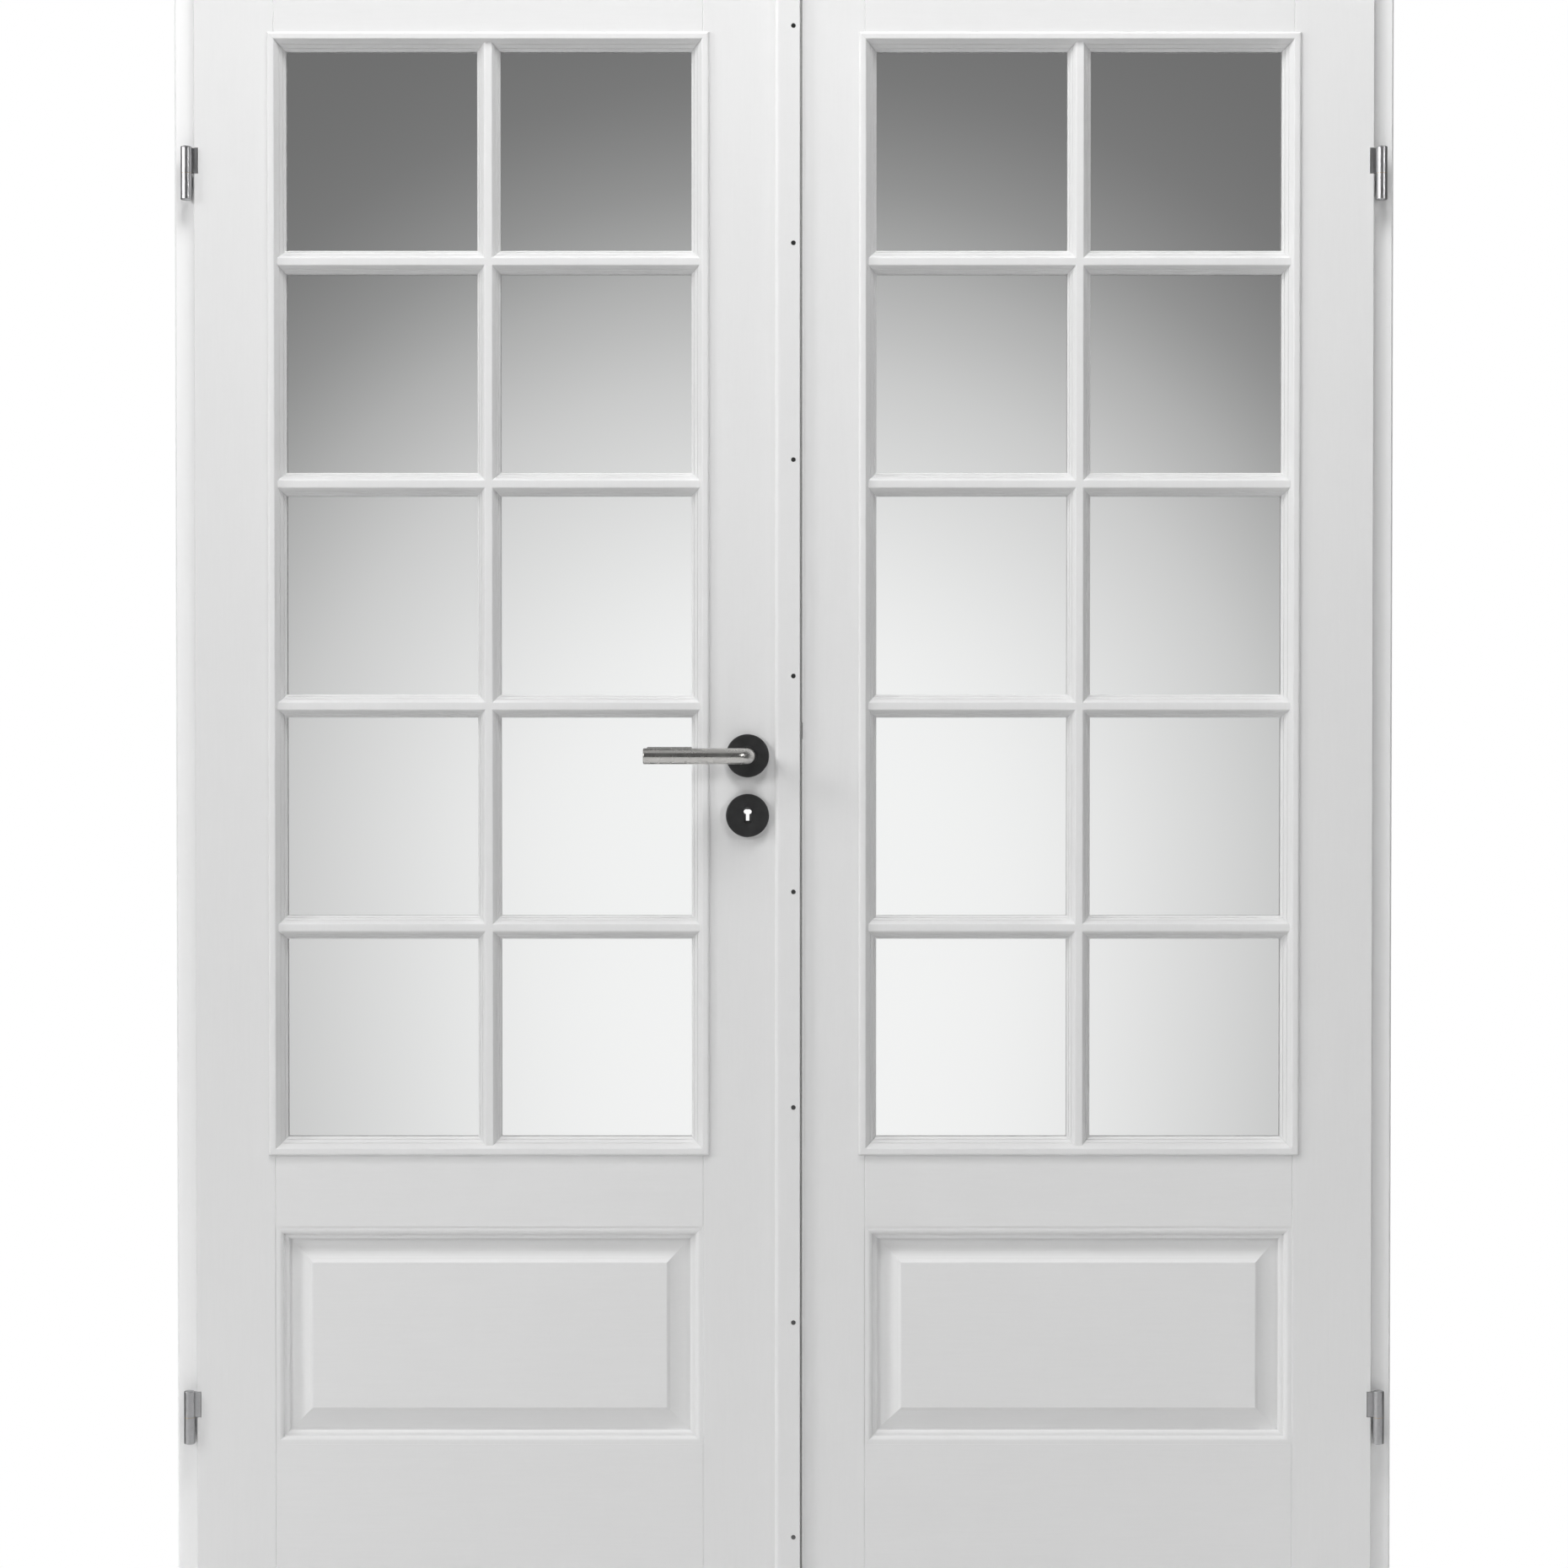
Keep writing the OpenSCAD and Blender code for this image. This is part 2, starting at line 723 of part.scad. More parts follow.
white = [0.93, 0.93, 0.92];
steel = [0.62, 0.62, 0.62];
birch = [0.8, 0.66, 0.46];

module right_hinge_stile() { color(white) hinge_stile(); }

module left_hinge_stile() { color(white) left() hinge_stile(); }

module right_top_rail() { color(white) top_rail(); }

module left_top_rail() { color(white) left() top_rail(); }

module right_lock_rail() { color(white) lock_rail(); }

module left_lock_rail() { color(white) left() lock_rail(); }

module right_bottom_rail() { color(white) bottom_rail(); }

module left_bottom_rail() { color(white) left() bottom_rail(); }

module right_dowels() { color(birch) dowels(); }

module left_dowels() { color(birch) left() dowels(); }

module right_raised_panel() { color(white) raised_panel(); }

module left_raised_panel() { color(white) left() raised_panel(); }

module right_panel_mouldings() { color(white) panel_mouldings(); }

module left_panel_mouldings() { color(white) left() panel_mouldings(); }

module right_glass() { color([0.8, 0.85, 0.85, 0.4]) glass(); }

module left_glass() { color([0.8, 0.85, 0.85, 0.4]) left() glass(); }

module right_glazing_tape() { color([0.85, 0.85, 0.85]) glazing_tape(); }

module left_glazing_tape() { color([0.85, 0.85, 0.85]) left() glazing_tape(); }

module right_front_beads() { color(white) beads(); }

module left_front_beads() { color(white) left() beads(); }

module right_back_beads() { color(white) back_only() beads(); }

module left_back_beads() { color(white) left() back_only() beads(); }

module right_front_bars() { color(white) bars(); }

module left_front_bars() { color(white) left() bars(); }

module right_back_bars() { color(white) back_only() bars(); }

module left_back_bars() { color(white) left() back_only() bars(); }

module right_hinge_halves() { color(steel) leaf_hinge_halves(); }

module left_hinge_halves() { color(steel) left() leaf_hinge_halves(); }

module right_hinge_screws() { color(steel) leaf_hinge_screws(); }

module left_hinge_screws() { color(steel) left() leaf_hinge_screws(); }

// ---- Active (left) leaf's meeting edge ----

seal_y0 = face_y + 4;                       // meeting seal's groove
seal_t = 2.4;

module left_meeting_stile() {
    color(white)
        difference() {
            translate([0, 0, foot_z])
                linear_extrude(leaf_h)
                    polygon([[-infill_in + arris, face_y], [active_reach, face_y],
                             [active_reach, back_y], [-infill_in + arris, back_y],
                             [-infill_in, back_y - arris], [-infill_in, face_y + arris]]);
            mirror([1, 0, 0]) top_rebate();
            top_rebate();
            mirror([1, 0, 0]) panel_groove();
            mirror([1, 0, 0]) dowels(0.1);
            box(case_x0 - 0.5, case_x1 + 1, mid_y - case_t / 2 - 0.4, mid_y + case_t / 2 + 0.4,
                case_z0 - 0.5, case_z1 + 0.5);
            box(active_reach - forend_t - 0.2, active_reach + 1,
                mid_y - forend_w / 2 - 0.2, mid_y + forend_w / 2 + 0.2,
                forend_z - forend_h / 2 - 0.2, forend_z + forend_h / 2 + 0.2);
            for (z = forend_screws)
                rod_x_axis(active_reach - 24, active_reach, mid_y, z, screw_r);
            box(active_reach - 4, active_reach + 1, seal_y0, seal_y0 + seal_t,
                foot_z - 1, top_z + 1);
            rod_y_axis(face_y - 1, back_y + 1, lock_x, lever_z, 11);
            box(lock_x - guide_r - 2, lock_x + guide_r + 2, face_y - 1, back_y + 1,
                key_z - guide_h / 2 - 2, key_z + guide_h / 2 + 2);
            strip_screw_holes(strip_shank_r, face_y + strip_shank_l + 2);
        }
}

strip_screw_x = active_reach - strip_screw_in;
strip_screw_pitch = (leaf_h - 2 * strip_screw_first) / (strip_screws_n - 1);
strip_screw_z = [for (i = [0:strip_screws_n - 1])
    foot_z + strip_screw_first + i * strip_screw_pitch];
strip_y = face_y - strip_t;                 // front of the strip
strip_shank_r = 1.4;
strip_shank_l = 24;
strip_head_r = 2.75;
strip_head_h = 1.4;

module strip_screw_holes(r, y1) {
    for (z = strip_screw_z)
        rod_y_axis(strip_y - 1, y1, strip_screw_x, z, r);
}

strip_round = 5;                            // round of the strip's fixed edge

module cover_strip() {
    x0 = active_reach - strip_w;
    color(white)
        difference() {
            translate([0, 0, foot_z])
                linear_extrude(leaf_h)
                    polygon(concat(
                        [[x0, face_y]],
                        arc(x0 + strip_round, strip_y + strip_round, strip_round, 180, 270, 8),
                        [[active_reach - arris, strip_y], [active_reach, strip_y + arris],
                         [active_reach, face_y]]));
            strip_screw_holes(strip_shank_r, face_y + 1);
            strip_screw_holes(strip_head_r + 0.15, strip_y + strip_head_h);
        }
}

module strip_screws() {
    color(steel)
        for (z = strip_screw_z)
            difference() {
                union() {
                    rod_y_axis(strip_y - 0.1, strip_y + strip_head_h - 0.1, strip_screw_x, z,
                               strip_head_r);
                    rod_y_axis(strip_y + 1, face_y + strip_shank_l, strip_screw_x, z,
                               strip_shank_r);
                }
                for (turn = [0, 90])
                    translate([strip_screw_x, 0, z]) rotate([0, turn, 0])
                        box(-1.8, 1.8, strip_y - 1, strip_y + 0.6, -0.4, 0.4);
            }
}

module meeting_seal() {
    color([0.75, 0.75, 0.75])
        translate([0, 0, foot_z])
            linear_extrude(leaf_h - lip_w)
                polygon([[active_reach - 3.8, seal_y0 + 0.1], [passive_x - 0.6, seal_y0 + 0.1],
                         [passive_x - 0.4, seal_y0 + 1], [passive_x - 0.6, seal_y0 + 1.6],
                         [active_reach - 1, seal_y0 + seal_t - 0.1],
                         [active_reach - 3.8, seal_y0 + seal_t - 0.1]]);
}

// ---- Lock ----

module keyhole(y0, y1) {
    head_z = key_z + key_r + 1;
    out = key_w / 2 - key_r;
    for (dx = [-out, out])
        rod_y_axis(y0, y1, lock_x + dx, head_z, key_r);
    box(lock_x - out, lock_x + out, y0, y1, head_z - key_r, head_z + key_r);
    box(lock_x - key_slot / 2, lock_x + key_slot / 2, y0, y1, key_z - key_foot, head_z);
}

module key_guide(y0, y1) {
    run = guide_h / 2 - guide_r;
    for (dz = [-run, run])
        rod_y_axis(y0, y1, lock_x, key_z + dz, guide_r);
    box(lock_x - guide_r, lock_x + guide_r, y0, y1, key_z - run, key_z + run);
}

module lock_inside() {
    box(case_x0 + case_wall, case_x1 - case_wall, mid_y - case_t / 2 + case_wall,
        mid_y + case_t / 2 - case_wall, case_z0 + case_wall, case_z1 - case_wall);
}

module bolt_slots(x0, x1, gap) {
    box(x0, x1, mid_y - latch_t / 2 - gap, mid_y + latch_t / 2 + gap,
        latch_z - latch_h / 2 - gap, latch_z + latch_h / 2 + gap);
    box(x0, x1, mid_y - dead_t / 2 - gap, mid_y + dead_t / 2 + gap,
        dead_z - dead_h / 2 - gap, dead_z + dead_h / 2 + gap);
}

module lock_shell() {
    difference() {
        box(case_x0, case_x1, mid_y - case_t / 2, mid_y + case_t / 2, case_z0, case_z1);
        lock_inside();
        bolt_slots(case_x1 - 5, case_x1 + 1, 0.3);
        rod_y_axis(mid_y - case_t, mid_y + case_t, lock_x, lever_z, hub_r - 2 + fit);
        keyhole(mid_y - case_t, mid_y + case_t);
    }
}

cover_y = mid_y - case_t / 2 + case_wall;   // joint between case and cover

module lock_case() {
    color(steel)
        intersection() {
            lock_shell();
            box(case_x0 - 1, case_x1 + 1, cover_y, mid_y + case_t, case_z0 - 1, case_z1 + 1);
        }
}

module lock_cover() {
    color(steel)
        intersection() {
            lock_shell();
            box(case_x0 - 1, case_x1 + 1, mid_y - case_t, cover_y, case_z0 - 1, case_z1 + 1);
        }
}

module lock_forend() {
    color([0.72, 0.72, 0.72])
        difference() {
            box(active_reach - forend_t, active_reach, mid_y - forend_w / 2, mid_y + forend_w / 2,
                forend_z - forend_h / 2, forend_z + forend_h / 2);
            bolt_slots(active_reach - 5, active_reach + 1, 0.3);
            for (z = forend_screws)
                rod_x_axis(active_reach - 5, active_reach + 1, mid_y, z, screw_r + 0.1);
        }
}

module lever_roses() {
    color([0.2, 0.2, 0.2])
        front_and_back()
            translate([lock_x, face_y, lever_z])
                rotate([90, 0, 0])
                    rotate_extrude($fn = 96)
                        polygon(concat([[neck_r + 0.1, 0], [rose_d / 2, 0]],
                                       arc(rose_d / 2 - 1.5, rose_t - 1.5, 1.5, 0, 90, 5),
                                       [[neck_r + 0.1, rose_t]]));
}

module key_escutcheons() {
    color([0.2, 0.2, 0.2])
        front_and_back()
            difference() {
                translate([lock_x, face_y, key_z])
                    rotate([90, 0, 0])
                        rotate_extrude($fn = 96)
                            polygon(concat([[0, 0], [rose_d / 2, 0]],
                                           arc(rose_d / 2 - 1.5, rose_t - 1.5, 1.5, 0, 90, 5),
                                           [[0, rose_t]]));
                key_guide(face_y - rose_t - 1, face_y + 1);
            }
}

// ---- Lever, spindle and follower ----

module lever() {
    grip_y = face_y - lever_off;
    turn_x = lock_x - bend_r;
    difference() {
        union() {
            rod_y_axis(grip_y + bend_r, face_y + 0.5, lock_x, lever_z, neck_r);
            rod_x_axis(lock_x - lever_l, turn_x, grip_y, lever_z, neck_r);
            translate([turn_x, grip_y + bend_r, lever_z])
                rotate([0, 0, -90])
                    rotate_extrude(angle = 90)
                        translate([bend_r, 0]) circle(r = neck_r);
        }
        box(lock_x - spindle_w / 2 - 0.1, lock_x + spindle_w / 2 + 0.1,
            face_y - 24, face_y + 1,
            lever_z - spindle_w / 2 - 0.1, lever_z + spindle_w / 2 + 0.1);
    }
}

module front_lever() { color(steel) lever(); }

module back_lever() { color(steel) back_only() lever(); }

module lever_spindle() {
    color(steel)
        box(lock_x - spindle_w / 2, lock_x + spindle_w / 2, face_y - 22, back_y + 22,
            lever_z - spindle_w / 2, lever_z + spindle_w / 2);
}

module lock_follower() {
    inner = case_t / 2 - case_wall - 0.3;
    color([0.7, 0.6, 0.4])
        difference() {
            union() {
                rod_y_axis(mid_y - inner, mid_y + inner, lock_x, lever_z, hub_r);
                rod_y_axis(mid_y - case_t / 2, mid_y + case_t / 2, lock_x, lever_z, hub_r - 2);
                box(lock_x - 2.5, lock_x + 2.5, mid_y - 3, mid_y + 3, lever_z, lever_z + arm_r);
            }
            box(lock_x - spindle_w / 2 - 0.1, lock_x + spindle_w / 2 + 0.1,
                mid_y - case_t, mid_y + case_t,
                lever_z - spindle_w / 2 - 0.1, lever_z + spindle_w / 2 + 0.1);
        }
}

module latch_bolt() {
    tail_x = lock_x - 3;
    lo = latch_z - latch_h / 2;
    nose = active_reach + latch_out;
    color([0.75, 0.75, 0.75])
        union() {
            translate([0, 0, lo])
                linear_extrude(latch_h)
                    polygon([[active_reach - 18, mid_y - latch_t / 2],
                             [nose, mid_y - latch_t / 2],
                             [nose, mid_y - latch_t / 2 + 2],
                             [active_reach + 2, mid_y + latch_t / 2],
                             [active_reach - 18, mid_y + latch_t / 2]]);
            box(tail_x - 6, active_reach - 17, mid_y - 3, mid_y + 3, lo + 1, lo + 8);
            box(tail_x - 6, tail_x, mid_y - 3, mid_y + 3, lever_z + hub_r + 1, lo + 8);
        }
}

module deadbolt() {
    color([0.75, 0.75, 0.75])
        difference() {
            box(active_reach - 50, active_reach - 0.2, mid_y - dead_t / 2, mid_y + dead_t / 2,
                dead_z - dead_h / 2, dead_z + dead_h / 2);
            box(lock_x - 4, lock_x + 22, mid_y - dead_t, mid_y + dead_t,
                dead_z - dead_h / 2 - 1, dead_z - dead_h / 2 + 4);
        }
}

// ---- Passive (right) leaf's meeting edge ----

module right_meeting_stile() {
    color(white)
        difference() {
            translate([0, 0, foot_z])
                linear_extrude(leaf_h)
                    polygon([[passive_x, face_y], [infill_in - arris, face_y],
                             [infill_in, face_y + arris], [infill_in, back_y - arris],
                             [infill_in - arris, back_y], [strike_x, back_y],
                             [strike_x, face_y + relief_d]]);
            top_rebate();
            panel_groove();
            dowels(0.1);
            strike_space(0.2);
            bolt_slots(strike_x - 1, strike_x + 18, 1.5);
            for (z = forend_screws)
                rod_x_axis(strike_x, strike_x + 22, mid_y, z, screw_r);
            rod_z_axis(rod_upper_z - rod_l - bolt_throw, top_z + 1, rod_x, rod_y, rod_d / 2 + clear);
            rod_z_axis(foot_z - 1, rod_lower_z + rod_l + bolt_throw, rod_x, rod_y,
                       rod_d / 2 + clear);
            bolt_plate_space(rod_upper_z, -1, 0.2);
            bolt_plate_space(rod_lower_z, 1, 0.2);
            thumb_space(rod_upper_z, -1);
            thumb_space(rod_lower_z, 1);
        }
}

module strike_space(gap) {
    box(strike_x - 1, strike_x + strike_t + gap, mid_y - forend_w / 2 - gap,
        mid_y + forend_w / 2 + gap, forend_z - forend_h / 2 - gap, forend_z + forend_h / 2 + gap);
}

module strike_plate() {
    color([0.72, 0.72, 0.72])
        difference() {
            box(strike_x, strike_x + strike_t, mid_y - forend_w / 2, mid_y + forend_w / 2,
                forend_z - forend_h / 2, forend_z + forend_h / 2);
            bolt_slots(strike_x - 1, strike_x + 5, 1);
            for (z = forend_screws)
                rod_x_axis(strike_x - 1, strike_x + 5, mid_y, z, screw_r + 0.1);
        }
}

// Screws of the strike plate: a low head on the plate and a shank in the stile
module strike_screws() {
    color(steel)
        for (z = forend_screws) {
            rod_x_axis(strike_x - 1, strike_x, mid_y, z, head_r);
            rod_x_axis(strike_x - 0.5, strike_x + 20, mid_y, z, screw_r);
        }
}

// Places along a flush bolt, counted from its tip into the leaf
function along(tip, way, a, b) = way > 0 ? [tip + a, tip + b] : [tip - b, tip - a];

module bolt_plate_space(tip, way, gap) {
    z = along(tip, way, 12, 12 + plate_len);
    box(strike_x - (gap > 0 ? 1 : 0), strike_x + strike_t + gap, rod_y - 9 - gap, rod_y + 9 + gap,
        z[0] - gap, z[1] + gap);
}

thumb_at = 150;                             // from a rod's tip to its thumb piece

module thumb_space(tip, way) {
    z = along(tip, way, thumb_at - thumb_h / 2 - bolt_throw - 1, thumb_at + thumb_h / 2 + 1);
    box(strike_x - 1, rod_x, rod_y - thumb_w / 2 - 0.4, rod_y + thumb_w / 2 + 0.4, z[0], z[1]);
}

module bolt_plates() {
    color([0.72, 0.72, 0.72])
        for (end = [[rod_upper_z, -1], [rod_lower_z, 1]])
            difference() {
                bolt_plate_space(end[0], end[1], 0);
                thumb_space(end[0], end[1]);
            }
}

module bolt_rod(tip, way) {
    z = along(tip, way, 0, rod_l);
    t = along(tip, way, thumb_at - thumb_h / 2, thumb_at + thumb_h / 2);
    union() {
        rod_z_axis(z[0], z[1], rod_x, rod_y, rod_d / 2);
        box(strike_x + 0.3, rod_x, rod_y - thumb_w / 2, rod_y + thumb_w / 2, t[0], t[1]);
    }
}

module upper_bolt_rod() { color(steel) bolt_rod(rod_upper_z, -1); }

module lower_bolt_rod() { color(steel) bolt_rod(rod_lower_z, 1); }

left_jamb();
right_jamb();
head_jamb();
threshold();
frame_seal();
frame_hinge_halves();
frame_hinge_screws();
bolt_keeps();
left_hinge_stile();
left_meeting_stile();
left_top_rail();
left_lock_rail();
left_bottom_rail();
left_dowels();
left_raised_panel();
left_panel_mouldings();
left_glass();
left_glazing_tape();
left_front_beads();
left_back_beads();
left_front_bars();
left_back_bars();
left_hinge_halves();
left_hinge_screws();
cover_strip();
strip_screws();
meeting_seal();
lock_case();
lock_cover();
lock_forend();
lever_roses();
key_escutcheons();
front_lever();
back_lever();
lever_spindle();
lock_follower();
latch_bolt();
deadbolt();
right_hinge_stile();
right_meeting_stile();
right_top_rail();
right_lock_rail();
right_bottom_rail();
right_dowels();
right_raised_panel();
right_panel_mouldings();
right_glass();
right_glazing_tape();
right_front_beads();
right_back_beads();
right_front_bars();
right_back_bars();
right_hinge_halves();
right_hinge_screws();
strike_plate();
strike_screws();
bolt_plates();
upper_bolt_rod();
lower_bolt_rod();
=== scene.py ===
"""Looks of a pair of white glazed doors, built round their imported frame. Metres throughout."""

import math

import bmesh
import bpy
from mathutils import Matrix, Vector


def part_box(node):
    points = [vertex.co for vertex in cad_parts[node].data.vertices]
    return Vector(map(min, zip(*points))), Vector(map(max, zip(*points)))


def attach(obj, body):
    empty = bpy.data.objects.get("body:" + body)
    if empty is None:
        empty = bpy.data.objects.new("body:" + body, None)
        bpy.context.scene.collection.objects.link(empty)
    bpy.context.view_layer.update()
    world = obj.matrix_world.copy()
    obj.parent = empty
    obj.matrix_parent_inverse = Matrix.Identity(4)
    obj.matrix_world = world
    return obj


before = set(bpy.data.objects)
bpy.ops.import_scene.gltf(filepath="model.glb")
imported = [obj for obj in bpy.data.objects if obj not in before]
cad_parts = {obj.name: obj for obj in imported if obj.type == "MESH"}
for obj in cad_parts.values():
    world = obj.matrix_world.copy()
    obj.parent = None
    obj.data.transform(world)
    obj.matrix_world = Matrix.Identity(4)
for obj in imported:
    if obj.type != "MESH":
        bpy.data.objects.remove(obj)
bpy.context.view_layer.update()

WOOD_PIECES = ("hinge_stile", "meeting_stile", "top_rail", "lock_rail", "bottom_rail",
               "raised_panel", "panel_mouldings", "front_beads", "back_beads",
               "front_bars", "back_bars")
LEVEL_GRAIN = ("top_rail", "lock_rail", "bottom_rail", "raised_panel")
SIDES = ("left", "right")


# ---- Node helpers ----

MIX_FIRST, MIX_SECOND, MIX_RESULT = 6, 7, 2     # the colour sockets of a Mix node


class Shader:
    """A material's node tree, with short ways to add and join nodes."""

    def __init__(self, name):
        self.material = bpy.data.materials.new(name)
        self.material.use_nodes = True
        self.nodes = self.material.node_tree.nodes
        self.links = self.material.node_tree.links
        self.surface = self.nodes["Principled BSDF"]
        self.place = self.add("ShaderNodeTexCoord").outputs["Object"]

    def add(self, kind, **values):
        node = self.nodes.new(kind)
        for key, value in values.items():
            setattr(node, key, value)
        return node

    def join(self, start, end):
        self.links.new(start, end)

    def set(self, **values):
        for key, value in values.items():
            self.surface.inputs[key.replace("_", " ")].default_value = value

    def stretched(self, scale, turn=(0, 0, 0)):
        mapping = self.add("ShaderNodeMapping")
        mapping.inputs["Scale"].default_value = scale
        mapping.inputs["Rotation"].default_value = turn
        self.join(self.place, mapping.inputs["Vector"])
        return mapping.outputs["Vector"]

    def noise(self, place, scale, detail=3.0, roughness=0.5):
        node = self.add("ShaderNodeTexNoise")
        node.inputs["Scale"].default_value = scale
        node.inputs["Detail"].default_value = detail
        node.inputs["Roughness"].default_value = roughness
        self.join(place, node.inputs["Vector"])
        return node.outputs["Fac"]

    def span(self, value, low, high, start=0.3, end=0.7):
        node = self.add("ShaderNodeMapRange")
        node.inputs["From Min"].default_value = start
        node.inputs["From Max"].default_value = end
        node.inputs["To Min"].default_value = low
        node.inputs["To Max"].default_value = high
        self.join(value, node.inputs["Value"])
        return node.outputs["Result"]

    def tint(self, value, dark, light, start=0.3, end=0.7):
        node = self.add("ShaderNodeValToRGB")
        for stop, position, colour in zip(node.color_ramp.elements, (start, end), (dark, light)):
            stop.position, stop.color = position, (*colour, 1)
        self.join(value, node.inputs["Fac"])
        return node.outputs["Color"]

    def product(self, first, second):
        node = self.add("ShaderNodeMix", data_type="RGBA", blend_type="MULTIPLY")
        node.inputs["Factor"].default_value = 1.0
        self.join(first, node.inputs[MIX_FIRST])
        self.join(second, node.inputs[MIX_SECOND])
        return node.outputs[MIX_RESULT]

    def bump(self, height, distance, strength=1.0, under=None):
        node = self.add("ShaderNodeBump")
        node.inputs["Distance"].default_value = distance
        node.inputs["Strength"].default_value = strength
        self.join(height, node.inputs["Height"])
        if under:
            self.join(under, node.inputs["Normal"])
        return node.outputs["Normal"]

    def finish(self, colour=None, rough=None, normal=None):
        if colour:
            self.join(colour, self.surface.inputs["Base Color"])
        if rough:
            self.join(rough, self.surface.inputs["Roughness"])
        if normal:
            self.join(normal, self.surface.inputs["Normal"])
        return self.material


# ---- Finishes ----

LEAF_WHITE = 0.8
FRAME_WHITE = 0.93
GRAIN_ALONG = {"upright": (1, 1, 0.05), "level": (0.05, 1, 1)}


def white_lacquer(name, grain, shade):
    """Sprayed white lacquer over solid wood: the grain shows faintly along the piece."""
    paint = Shader(name)
    cloud = paint.noise(paint.place, 2.6, 2.0)
    fibre = paint.noise(paint.stretched(GRAIN_ALONG[grain]), 420, 4.0, 0.6)
    peel = paint.noise(paint.place, 700, 2.0)
    colour = paint.product(
        paint.tint(cloud, [shade * 0.985] * 3, [shade] * 3),
        paint.tint(fibre, (0.985, 0.985, 0.985), (1, 1, 1)))
    rough = paint.span(paint.noise(paint.place, 34, 3.0), 0.36, 0.46)
    normal = paint.bump(fibre, 0.00004, 0.5, under=paint.bump(peel, 0.00003, 0.5))
    paint.set(Specular_IOR_Level=0.42, Coat_Weight=0.12, Coat_Roughness=0.3)
    return paint.finish(colour, rough, normal)


def clear_glass():
    """Clear float glass with the slightest green and a slow ripple."""
    pane = Shader("clear_float_glass")
    cloud = pane.noise(pane.place, 1.5, 1.0)
    ripple = pane.noise(pane.place, 5.0, 1.0)
    pane.set(Transmission_Weight=1.0, IOR=1.46, Roughness=0.0)
    return pane.finish(colour=pane.tint(cloud, (0.975, 0.985, 0.98), (0.99, 0.995, 0.992)),
                       normal=pane.bump(ripple, 0.00002, 0.2))


def brushed_steel(name, along, shade, rough=(0.2, 0.34)):
    """Drawn steel: hair-fine lines along one axis."""
    metal = Shader(name)
    lines = metal.noise(metal.stretched(along), 1500, 3.0, 0.7)
    smudge = metal.noise(metal.place, 60, 3.0)
    colour = metal.tint(lines, [v * 0.9 for v in shade], shade)
    normal = metal.bump(lines, 0.00002, 0.5)
    metal.set(Metallic=1.0)
    return metal.finish(colour, metal.span(smudge, *rough), normal)


def turned_graphite():
    """Dark coated metal with a fine even tooth."""
    metal = Shader("graphite_coated_metal")
    tooth = metal.noise(metal.place, 2600, 2.0, 0.6)
    cloud = metal.noise(metal.place, 90, 3.0)
    colour = metal.product(metal.tint(cloud, (0.034, 0.034, 0.035), (0.043, 0.043, 0.044)),
                           metal.tint(tooth, (0.85, 0.85, 0.85), (1.1, 1.1, 1.1)))
    metal.set(Metallic=0.25, Specular_IOR_Level=0.45)
    return metal.finish(colour, metal.span(cloud, 0.36, 0.46), metal.bump(tooth, 0.00002, 0.6))


def plated_steel(name, shade):
    metal = Shader(name)
    mottle = metal.noise(metal.place, 240, 4.0, 0.6)
    fine = metal.noise(metal.place, 1800, 2.0)
    metal.set(Metallic=1.0)
    return metal.finish(metal.tint(mottle, [v * 0.88 for v in shade], shade),
                        metal.span(mottle, 0.28, 0.44), metal.bump(fine, 0.00002, 0.4))


def bare_birch():
    wood = Shader("bare_birch")
    fibre = wood.noise(wood.stretched((0.06, 1, 1)), 380, 5.0, 0.65)
    return wood.finish(wood.tint(fibre, (0.56, 0.40, 0.23), (0.74, 0.58, 0.38)),
                       wood.span(fibre, 0.5, 0.7), wood.bump(fibre, 0.0001, 0.6))


def pale_rubber():
    rubber = Shader("pale_rubber")
    dust = rubber.noise(rubber.place, 300, 3.0)
    rubber.set(Specular_IOR_Level=0.3)
    return rubber.finish(rubber.tint(dust, (0.50, 0.50, 0.49), (0.58, 0.58, 0.57)),
                         rubber.span(dust, 0.6, 0.8), rubber.bump(dust, 0.00005, 0.6))


def cast_brass():
    brass = Shader("cast_brass")
    mottle = brass.noise(brass.place, 200, 4.0)
    brass.set(Metallic=1.0)
    return brass.finish(brass.tint(mottle, (0.55, 0.40, 0.18), (0.72, 0.54, 0.28)),
                        brass.span(mottle, 0.3, 0.5), brass.bump(mottle, 0.00005, 0.5))


def dress(node, material):
    """Gives a carried-over piece its finish."""
    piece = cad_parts[node]
    piece.data.materials.clear()
    piece.data.materials.append(material)


